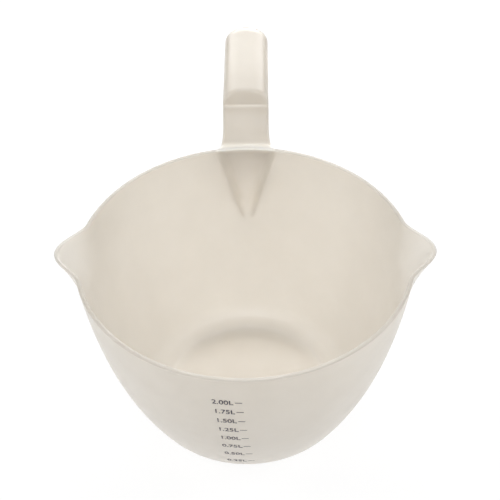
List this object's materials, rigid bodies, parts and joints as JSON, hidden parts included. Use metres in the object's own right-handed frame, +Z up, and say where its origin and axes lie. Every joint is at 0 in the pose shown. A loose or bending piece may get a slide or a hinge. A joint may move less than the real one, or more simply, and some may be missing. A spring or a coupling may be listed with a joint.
{
  "type": "hair color bowl",
  "caption": "Translucent mixing bowl with a tapering wall, opposed pour spouts, a raised back handle and a printed litre scale.",
  "frame": {"origin": "centre of the flat underside", "axes": "+Z up out of the bowl, +Y along the handle, +X and -X through the two pour spouts, the printed scale on the -Y wall"},
  "size_m": [0.2176, 0.3004, 0.1475],
  "materials": {
    "frosted_plastic": "satin, translucent natural polypropylene",
    "scale_ink": "flat printed ink"
  },
  "bodies": {
    "root": {"bowl_shell": "frosted_plastic", "handle": "frosted_plastic", "scale_line_0_25": "scale_ink", "scale_line_0_50": "scale_ink", "scale_line_0_75": "scale_ink", "scale_line_1_00": "scale_ink", "scale_line_1_25": "scale_ink", "scale_line_1_50": "scale_ink", "scale_line_1_75": "scale_ink", "scale_line_2_00": "scale_ink", "scale_number_0_25": "scale_ink", "scale_number_0_50": "scale_ink", "scale_number_0_75": "scale_ink", "scale_number_1_00": "scale_ink", "scale_number_1_25": "scale_ink", "scale_number_1_50": "scale_ink", "scale_number_1_75": "scale_ink", "scale_number_2_00": "scale_ink"}
  },
  "joints": []
}
